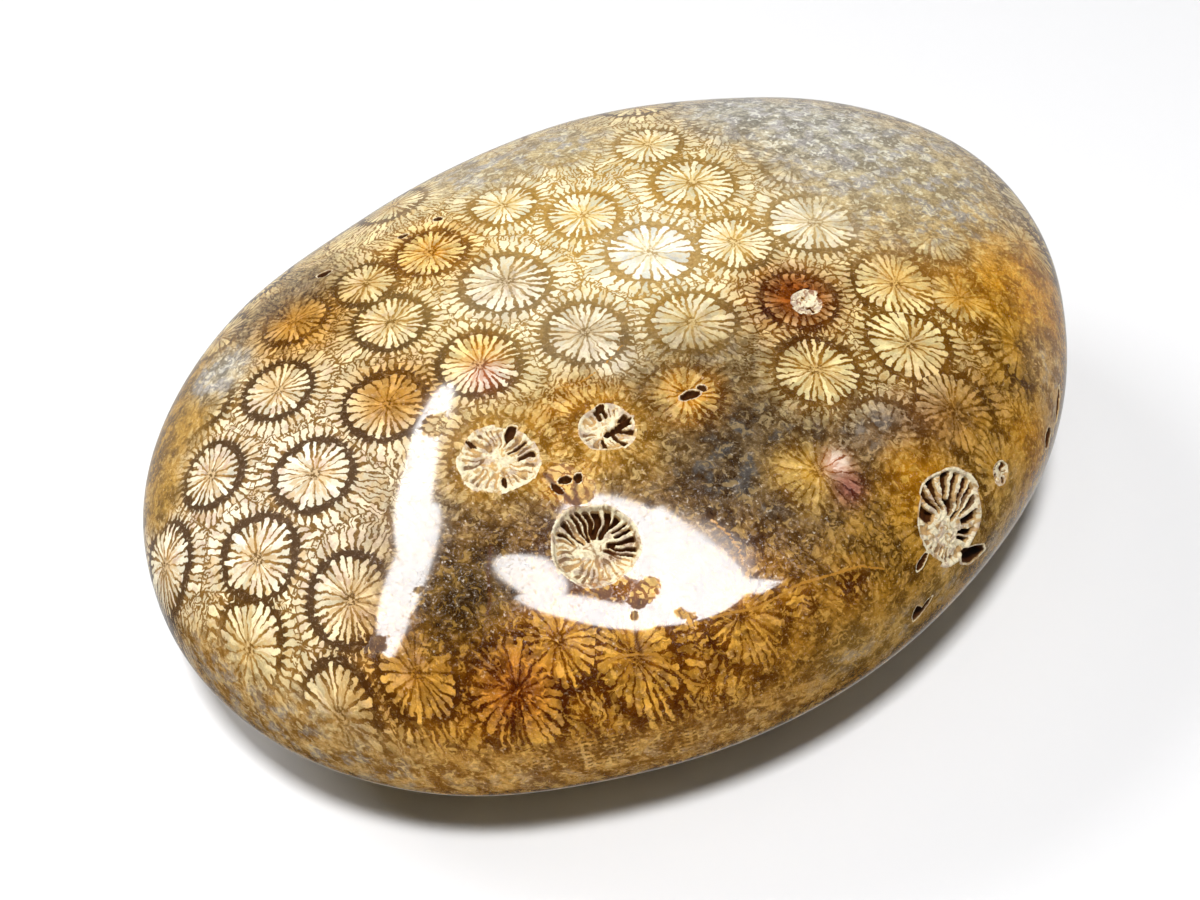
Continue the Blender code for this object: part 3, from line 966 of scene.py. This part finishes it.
def lining_colour(g, f):
    """Lining of the open calices, with painted shade in their open cells and holes, and how hollow it is at
    each point.
    """
    cells = g.value("cells")
    crust = g.blend(g.step(f.patch, 0.48, 0.60), CRUST_WHITE, CRUST_ROSE)
    chalk = g.blend(g.step(f.speckle, 0.50, 0.64) * 0.8, crust, f.ochre)
    chalk = g.shade(chalk, (f.fine - 0.5) * 0.9 + 1.0)
    crystals = g.blend(g.step(f.mottle, 0.42, 0.58), CRYSTAL_PALE, CRYSTAL_DARK)
    lining = g.blend(g.step(cells + (f.fine - 0.5) * 0.3, 0.04, 0.12), chalk, crystals)
    # hollow: share of the dark brown painted shade in open cells and holes; it also dims the mirroring there
    hollow = g.step(cells + (f.fine - 0.5) * 0.5, 0.20, 0.38)
    return g.blend(hollow, lining, PAINTED_CELL_SHADE), hollow


POLISH = 0.055  # roughness of the polished skin


def skin_roughness(g, f, within):
    """Polish, with small pores and hairlines, dull places and matt calices."""
    hair = (abs(f.speckle - 0.5) < 0.006) * g.step(f.patch, 0.46, 0.56)
    pores = g.math("MAXIMUM", g.step(f.grain, 0.63, 0.67), hair)
    dull = g.step(g.value("dull") + (f.fine - 0.5) * 1.6, 0.35, 0.60)
    return g.math("MAXIMUM", within * 0.85, g.math("MAXIMUM", dull * 0.85, pores * 0.4)) + POLISH


def coral_material():
    """Polished, silicified coral."""
    g = Graph(bpy.data.materials.new("polished_agatized_coral"))
    place = g.attribute("growth")
    x, y, z = g.split(place)
    shifted = g.join(x + 31.0, y, z)
    f = Layers(g, place, shifted)
    pattern = star_pattern(g, place, strayed(g, place, x), strayed(g, shifted, y), f.ring)
    clear = g.step(f.clearness + (f.patch - 0.5) * 1.0, 0.05, 0.95)
    surface = g.blend(clear, matrix_colour(g, f), skeleton_colour(g, f, pattern))
    surface = g.shade(surface, (f.mottle - 0.5) * 0.5 + 1.0)
    surface = g.blend(rung_share(g, f, x, y, z), surface, g.shade(f.gaps, 0.7))
    # the lining carries the painted shade of the open cells and holes
    lining, hollow = lining_colour(g, f)
    within = g.step(g.value("inside") + (f.fine - 0.5) * 0.5, 0.03, 0.22)
    surface = g.blend(within * 0.92, surface, lining)
    vein = g.step(g.value("pale_vein") + (f.fine - 0.5) * 1.5, 0.40, 0.70)
    surface = g.blend(vein * 0.9, surface, VEIN_GOLD)
    surface = g.blend(g.value("dark_vein") * 0.85, surface, VEIN_BROWN)
    skin = g.tree.nodes["Principled BSDF"].inputs
    g.feed(skin["Base Color"], g.deepen(surface))
    g.feed(skin["Roughness"], skin_roughness(g, f, within))
    g.feed(skin["Specular IOR Level"], hollow * -0.46 + 0.5)  # little mirrors in a hollow cell
    skin["IOR"].default_value = 1.56
    return g.owner


WHITE = (1.0, 1.0, 1.0, 1.0)
SWEEP_START, SWEEP_END = 0.12, 0.55  # metres from the stone where the floor's own light comes up


def floor_material():
    """Pale floor that runs into a lit sweep well away from the stone."""
    g = Graph(bpy.data.materials.new("pale_floor"))
    away = g.vector("LENGTH", g.add("ShaderNodeTexCoord").outputs["Object"]).outputs["Value"]
    look = g.tree.nodes["Principled BSDF"].inputs
    look["Base Color"].default_value = (0.70, 0.70, 0.71, 1.0)
    look["Roughness"].default_value = 0.75
    look["Emission Color"].default_value = WHITE
    g.feed(look["Emission Strength"], g.step(away, SWEEP_START, SWEEP_END))
    g.owner.cycles.emission_sampling = "NONE"
    return g.owner


# ---- stage
FLOOR_HALF = 4.0  # half the floor's side, in metres
FLOOR_DROP = 0.00005  # keeps the floor clear of the stone's flat, in metres


def make_floor():
    """Plain floor under the stone, which the polish doesn't mirror."""
    mesh = bpy.data.meshes.new("floor")
    corners = [(-1, -1), (1, -1), (1, 1), (-1, 1)]
    mesh.from_pydata([(x * FLOOR_HALF, y * FLOOR_HALF, 0) for x, y in corners], [], [(0, 1, 2, 3)])
    mesh.materials.append(floor_material())
    floor = bpy.data.objects.new("floor", mesh)
    floor.location.z = -FLOOR_DROP
    bpy.context.collection.objects.link(floor)
    floor.visible_glossy = False


def make_camera(shift):
    """Camera at the photo's viewing angle, moved with the stone."""
    data = bpy.data.cameras.new("camera")
    data.sensor_width = SENSOR
    data.lens = SENSOR / 2 / math.tan(math.radians(VIEW_WIDTH_DEGREES / 2))
    data.clip_start, data.clip_end = 0.005, 10.0
    camera = bpy.data.objects.new("camera", data)
    camera.location = Vector((CAMERA_AT + shift) * MM)
    camera.rotation_euler = Vector(-BACK).to_track_quat("-Z", "Y").to_euler()
    bpy.context.collection.objects.link(camera)
    bpy.context.scene.camera = camera


CEILING = 0.6  # height of the light panels, in metres


def fade_edge(data, start):
    """Let an oval light panel fade towards its edge from a share of its half width."""
    g = Graph(data)
    place = g.add("ShaderNodeNewGeometry").outputs["Parametric"]
    centred = g.vector("MULTIPLY_ADD", place, (2.0, 2.0, 0.0), (-1.0, -1.0, 0.0)).outputs[0]
    span = g.vector("LENGTH", centred).outputs["Value"]
    glow = g.tree.nodes["Emission"].inputs
    glow["Color"].default_value = WHITE
    g.feed(glow["Strength"], g.step(span, start, 1.0, 1.0, 0.0))


def make_panel(name, start, end, width, radiance, shape="RECTANGLE", shown=True, lit=False, fade=None):
    """Light panel over the stone, along a line of the ceiling plane in shares of its height."""
    start, end = Vector((*start, 1.0)) * CEILING, Vector((*end, 1.0)) * CEILING
    data = bpy.data.lights.new(name, "AREA")
    data.shape = shape
    data.size, data.size_y = (end - start).length, width * CEILING
    share = math.pi / 4 if shape == "ELLIPSE" else 1.0
    data.energy = radiance * math.pi * data.size * data.size_y * share
    light = bpy.data.objects.new(name, data)
    light.location = (start + end) / 2
    light.rotation_euler.z = math.atan2(end.y - start.y, end.x - start.x)
    light.visible_glossy, light.visible_diffuse = shown, lit
    bpy.context.collection.objects.link(light)
    if fade is not None:
        fade_edge(data, fade)


FAR_SIDE = (0.67, 0.74, 0.0)  # level way from the camera to beyond the stone
ROOM_DIM, ROOM_BRIGHT = 0.03, 0.50


def make_room():
    """What the polish mirrors: a pale sweep beyond the stone, in an otherwise dim room."""
    world = bpy.data.worlds.new("studio_room")
    g = Graph(world)
    way = g.add("ShaderNodeTexCoord").outputs["Generated"]
    beyond = g.vector("DOT_PRODUCT", way, FAR_SIDE).outputs["Value"]
    low_down = g.step(g.split(way)[2], 0.05, 0.40, 1.0, 0.0)
    mirrored = g.step(beyond, 0.15, 0.60, 0.0, ROOM_BRIGHT) * low_down + ROOM_DIM
    camera_ray = g.add("ShaderNodeLightPath").outputs["Is Camera Ray"]
    background = g.tree.nodes["Background"].inputs
    background["Color"].default_value = WHITE
    g.feed(background["Strength"], g.math("MAXIMUM", mirrored, camera_ray))
    bpy.context.scene.world = world
    world.cycles_visibility.diffuse = False


SOFTBOX = 20.0  # radiance of the panels that show as highlights
SOFTBOXES = (
    ("softbox", (0.02, -0.38), (0.02, -1.17), 0.36, "ELLIPSE"),
    ("softbox_top", (0.137, 0.23), (0.137, -0.30), 0.13, "ELLIPSE"),
    ("softbox_right", (0.12, 0.02), (0.09, -1.00), 0.20, "RECTANGLE"),
    ("softbox_left", (-0.145, -0.10), (-0.175, -0.92), 0.125, "ELLIPSE"),
    ("softbox_end", (-0.005, 0.125), (-0.14, -0.22), 0.085, "ELLIPSE"),
    ("softbox_low", (0.15, -0.80), (0.27, -1.16), 0.10, "RECTANGLE"),
    ("strip_far", (0.300, 0.690), (0.02, 0.380), 0.062, "ELLIPSE"),
    ("strip", (0.165, 0.521), (-0.25, 0.125), 0.100, "ELLIPSE"),
    ("strip_near", (0.06, 0.345), (-1.05, -0.300), 0.125, "ELLIPSE"),
)


def make_lights():
    """Panels that the polish mirrors, and three unseen ones that light the scene."""
    make_room()
    for name, start, end, width, shape in SOFTBOXES:
        make_panel(name, start, end, width, SOFTBOX, shape)
    make_panel("softbox_glow", (0.175, 0.06), (0.165, -0.96), 0.24, 5.5, "ELLIPSE", fade=0.55)
    make_panel("key", (-0.31, -0.19), (-0.17, -0.19), 0.14, 214.0, shown=False, lit=True)
    make_panel("side", (-0.85, 1.185), (-0.05, 1.185), 0.80, 11.0, shown=False, lit=True)
    make_panel("fill", (-1.1, 0.0), (1.1, 0.0), 2.2, 0.08, shown=False, lit=True)


def main():
    """Build the dressed stone and its stage."""
    stone, shift = make_stone()
    stone.data.materials.append(coral_material())
    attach(stone, "root")
    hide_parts(NODE)
    make_floor()
    make_camera(shift)
    make_lights()
    view = bpy.context.scene.view_settings
    view.view_transform = "Standard"
    view.look = "None"


main()
